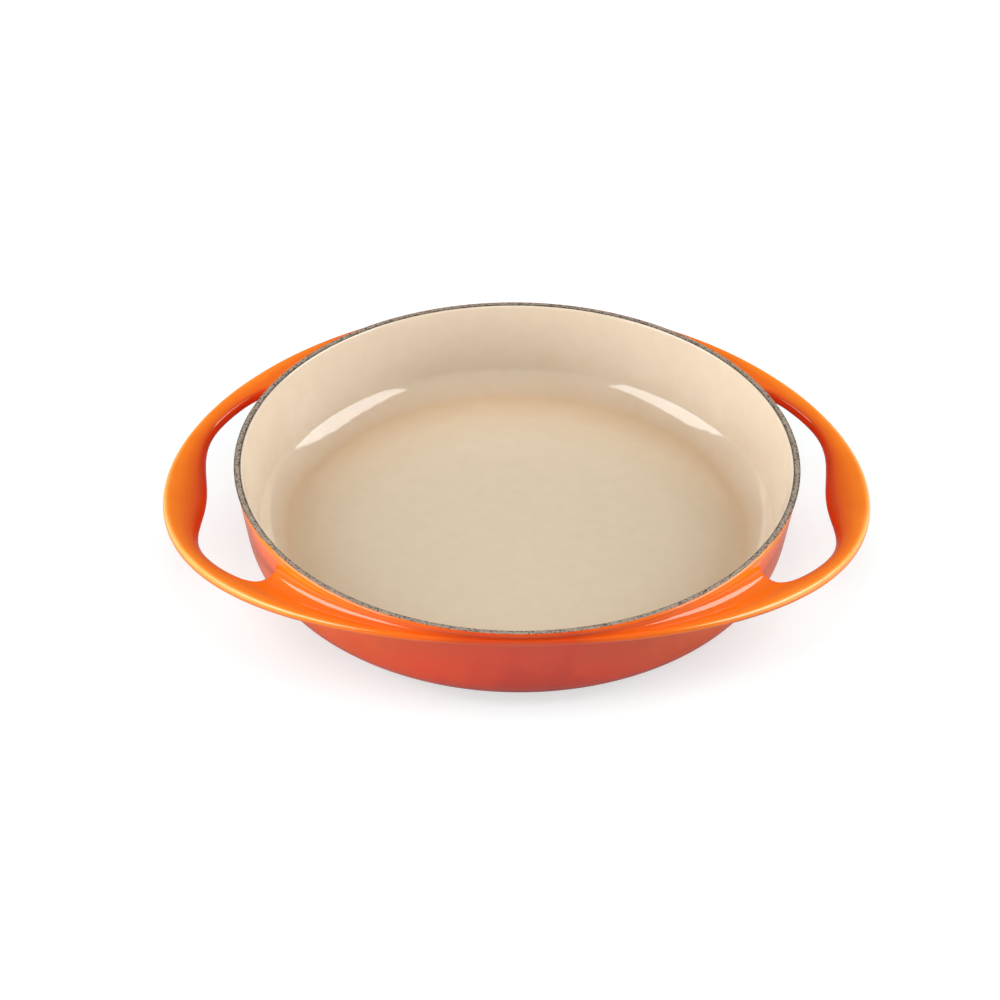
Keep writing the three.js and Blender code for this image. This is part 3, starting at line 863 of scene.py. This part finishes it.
def cast_iron():
    """Grey iron cast in sand, as it is under the coats: dull, dark and rough from the mould."""
    material, tree, place = blank_material("sand_cast_iron")
    # Moulding sand is finer than half a millimetre; its grain is drawn coarser so that it shows
    grain = node(tree, "ShaderNodeTexNoise", {"Vector": place, "Scale": per_metre(0.8), "Detail": 4.0})
    colour = node(
        tree, "ShaderNodeValToRGB", {"Fac": grain.outputs["Fac"]},
        stops=((0.3, "4A4B4E"), (0.7, "606266")),
    )
    surfaced(
        tree, colour.outputs["Color"], grain.outputs["Fac"], strength=0.5, depth=0.3,
        Metallic=0.9, Roughness=0.6,
    )
    return material


# The pieces

def finished(bm, name, material, nodes, facing):
    """Makes the piece's object in metres, smooth, and ties it to the frame.

    An open coat faces up where facing is 1 and down where it is -1; a closed piece has 0.
    """
    bmesh.ops.remove_doubles(bm, verts=bm.verts, dist=MERGE_DISTANCE)
    bmesh.ops.recalc_face_normals(bm, faces=bm.faces)
    if facing * sum(face.normal.z * face.calc_area() for face in bm.faces) < 0:
        bmesh.ops.reverse_faces(bm, faces=bm.faces)
    bmesh.ops.scale(bm, vec=(MM, MM, MM), verts=bm.verts)
    for face in bm.faces:
        face.smooth = True
    for edge in bm.edges:
        edge.smooth = not edge.is_boundary
    mesh = bpy.data.meshes.new(name)
    bm.to_mesh(mesh)
    bm.free()
    mesh.materials.append(material)
    piece = bpy.data.objects.new(name, mesh)
    scene.collection.objects.link(piece)
    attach(piece, "root")
    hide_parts(*nodes)
    return piece


def smoothed(piece, levels):
    """Subdivides the cage's surface."""
    modifier = piece.modifiers.new("smooth", "SUBSURF")
    modifier.levels = levels
    modifier.render_levels = levels
    modifier.boundary_smooth = "PRESERVE_CORNERS"


def thickened(piece):
    """Gives a coat its thickness, inwards from the face that shows."""
    modifier = piece.modifiers.new("thickness", "SOLIDIFY")
    modifier.thickness = COAT * MM
    modifier.offset = -1
    modifier.use_even_offset = True


def outside_coat(material):
    """The coloured coat on the wall, the brim and the handles."""
    bm = bmesh.new()
    outside_cage(bm, 0.0)
    nodes = ["exterior_enamel"]
    piece = finished(bm, "exterior_enamel_skin", material, nodes, facing=-1)
    smoothed(piece, SMOOTHING)
    thickened(piece)


def round_coat(name, profile, material, nodes, facing):
    """A coat that is a surface of revolution, with its thickness behind the face that shows."""
    bm = bmesh.new()
    verts, edges = profile_line(bm, profile)
    full_turn(bm, verts + edges, COAT_TURN_STEPS)
    thickened(finished(bm, name, material, nodes, facing))


def underside_coat(material):
    """The coat under the dish and over its foot ring."""
    profile = underside_profile()
    nodes = ["underside_enamel"]
    round_coat("underside_enamel_skin", profile, material, nodes, facing=-1)


def inside_coat(material):
    """The coat on the cooking side."""
    profile = inside_profile()
    nodes = ["interior_enamel"]
    round_coat("interior_enamel_skin", profile, material, nodes, facing=1)


def rim_coat(material):
    """The bare rim: a ring that swells beside the handles, whose upper edges wander a little."""
    bm = bmesh.new()
    verts, edges = profile_line(bm, rim_profile(), closed=True)
    full_turn(bm, verts + edges, RIM_TURN_STEPS)
    for vert in bm.verts:
        if vert.co.xy.length > (MOUTH_RADIUS + RIM_COAT_RADIUS) / 2:
            swell = RIM_SWELL * beside_handle(math.atan2(vert.co.y, vert.co.x))
            vert.co.xy *= 1 + swell / RIM_RADIUS
        if vert.co.z > HEIGHT - RIM_COAT_HEIGHT + RIM_FOOT:
            wave = sum(noise.noise(vert.co * scale) * size for scale, size in RIM_WAVES)
            vert.co.z -= abs(wave) * WAVE_DOWN
            vert.co.xy *= 1 - RIM_DRAW / RIM_RADIUS + wave * WAVE_OUT / RIM_RADIUS
    nodes = ["rim_ground_coat"]
    finished(bm, "rim_ground_coat_skin", material, nodes, facing=0)


def casting(material):
    """The iron under the coats: bowl, foot ring, brim and handles in one."""
    bm = bmesh.new()
    inset = COAT + COAT_BED
    outside_cage(bm, inset, underside_profile(inset)[:-1], inside_profile(inset)[::-1])
    nodes = ["iron_casting"]
    piece = finished(bm, "iron_casting_core", material, nodes, facing=0)
    smoothed(piece, SMOOTHING - 1)


outside_coat(orange_enamel())
underside_coat(red_enamel())
inside_coat(sand_enamel())
rim_coat(ground_coat())
casting(cast_iron())


# The stage, in metres: a pale floor, a white surrounding and soft light, most of it from the two sides
FLOOR_SIZE = 12                       # from its middle to each side
FLOOR_GAP = 0.0001                    # left between the floor and the foot ring
FLOOR_FADE = (0.4, 1.4)               # distances from its middle between which it goes over into white
FLOOR_LIFT = 0.6                      # white that is added to it at the dish
MIRRORED_LIFT = 0.11                  # part of that white that mirrored rays see
ROOM_LIGHT = 0.05                     # what the surroundings add to the light


def seen_directly(tree):
    """1 for rays from the camera and through glass, which see white, and a little for mirrored ones."""
    path = node(tree, "ShaderNodeLightPath").outputs
    straight = node(
        tree, "ShaderNodeMath", {0: path["Is Camera Ray"], 1: path["Is Transmission Ray"]},
        operation="MAXIMUM",
    )
    return node(
        tree, "ShaderNodeMath", {0: path["Is Glossy Ray"], 1: MIRRORED_LIFT, 2: straight.outputs[0]},
        operation="MULTIPLY_ADD",
    ).outputs[0]


def pale_floor():
    """A wide pale floor that keeps the dish's shadow and goes over into white."""
    bm = bmesh.new()
    bmesh.ops.create_grid(bm, x_segments=1, y_segments=1, size=FLOOR_SIZE)
    bmesh.ops.translate(bm, vec=(0, 0, -FLOOR_GAP), verts=bm.verts)
    mesh = bpy.data.meshes.new("floor")
    bm.to_mesh(mesh)
    bm.free()
    material, tree, place = blank_material("pale_floor")
    seen = seen_directly(tree)
    paler = node(tree, "ShaderNodeMapRange", {
        "Value": distance_out(tree, place), "From Min": FLOOR_FADE[0], "From Max": FLOOR_FADE[1],
        "To Min": FLOOR_LIFT, "To Max": 1.0,
    })
    lift = node(tree, "ShaderNodeMath", {0: seen, 1: paler.outputs["Result"]}, operation="MULTIPLY")
    shade = node(tree, "ShaderNodeValToRGB", {"Fac": seen}, stops=((0.0, "B4B4B4"), (1.0, "ACBABA")))
    shader = node(tree, "ShaderNodeBsdfPrincipled", {
        "Base Color": shade.outputs["Color"], "Roughness": 0.35, "Specular IOR Level": 0.25,
        "Emission Color": linear("FFFFFF"), "Emission Strength": lift.outputs[0],
    })
    node(tree, "ShaderNodeOutputMaterial", {"Surface": shader.outputs["BSDF"]})
    mesh.materials.append(material)
    made = bpy.data.objects.new("floor", mesh)
    scene.collection.objects.link(made)


def plain_room():
    """Surroundings that are the same on all sides: white to the eye, and a little light in the shadows."""
    world = bpy.data.worlds.new("plain_room")
    world.use_nodes = True
    tree = world.node_tree
    tree.nodes.clear()
    strength = node(
        tree, "ShaderNodeMath", {0: seen_directly(tree), 1: 1 - ROOM_LIGHT, 2: ROOM_LIGHT},
        operation="MULTIPLY_ADD",
    )
    shade = node(tree, "ShaderNodeBackground", {
        "Color": linear("FFFFFF"), "Strength": strength.outputs[0],
    })
    node(tree, "ShaderNodeOutputWorld", {"Surface": shade.outputs["Background"]})
    scene.world = world


def soft_box(name, azimuth, distance, level, width, height, glow, tilt=0, mirrored=True):
    """A soft box round the dish that faces its axis, tilted down by so many degrees.

    Its glow is 1 for a face that looks white, and one that isn't mirrored lights without a reflection.
    """
    light = bpy.data.lights.new(name, "AREA")
    light.shape = "RECTANGLE"
    light.size = width
    light.size_y = height
    light.energy = glow * math.pi * width * height
    lamp = bpy.data.objects.new(name, light)
    turn = Matrix.Rotation(math.radians(azimuth + 90), 4, "Z")
    lean = Matrix.Rotation(math.radians(90 - tilt), 4, "X")
    lamp.matrix_world = turn @ Matrix.Translation((0, -distance, level)) @ lean
    lamp.visible_glossy = mirrored
    scene.collection.objects.link(lamp)


pale_floor()
plain_room()
soft_box("soft_box_right", azimuth=-3, distance=1.0, level=0.82, width=1.02, height=0.87, glow=4.4)
soft_box("soft_box_left", azimuth=193, distance=1.0, level=0.84, width=1.02, height=0.87, glow=4.4)
soft_box(
    "low_fill_right", azimuth=-10, distance=1.3, level=0.17, width=1.4, height=0.3, glow=8.2,
    mirrored=False,
)
soft_box(
    "low_fill_left", azimuth=206, distance=1.3, level=0.17, width=1.4, height=0.3, glow=11.0,
    mirrored=False,
)
soft_box(
    "front_fill", azimuth=-85, distance=1.4, level=0.25, width=1.0, height=0.5, glow=0.25,
    mirrored=False,
)
soft_box(
    "top_fill", azimuth=0, distance=0.0, level=1.2, width=1.6, height=1.6, glow=1.2, tilt=90,
    mirrored=False,
)


# The camera, fitted to the photograph, in pixels of an image that is 1000 wide and high
IMAGE_SIZE = 1000
FOCAL_LENGTH = 3538
IMAGE_AXIS = (517.157, 457.503)       # the pixel that the fitted camera points at
SENSOR_WIDTH = 36
FAR_END = 50                          # metres, past the edge of the floor


def photo_camera():
    """Looks as the photograph does, with its slight roll, and points at the image's middle, unshifted."""
    eye = Vector((-21.21, -1295.58, 986.13)) * MM
    forward = Vector((0.01326, 0.80974, -0.58664))
    right = Vector((0.99991, -0.00945, 0.00955))
    up = Vector((-0.00219, 0.58671, 0.80979))
    across = right * (IMAGE_SIZE / 2 - IMAGE_AXIS[0]) / FOCAL_LENGTH
    down = up * (IMAGE_SIZE / 2 - IMAGE_AXIS[1]) / FOCAL_LENGTH
    forward = (forward + across - down).normalized()
    right = (right - forward * right.dot(forward)).normalized()
    up = right.cross(forward)
    data = bpy.data.cameras.new("photo_camera")
    data.sensor_width = SENSOR_WIDTH
    data.lens = SENSOR_WIDTH * FOCAL_LENGTH / IMAGE_SIZE
    data.clip_end = FAR_END
    camera = bpy.data.objects.new("photo_camera", data)
    turn = Matrix((right, up, -forward)).transposed()
    camera.matrix_world = Matrix.Translation(eye) @ turn.to_4x4()
    scene.collection.objects.link(camera)
    scene.camera = camera


photo_camera()
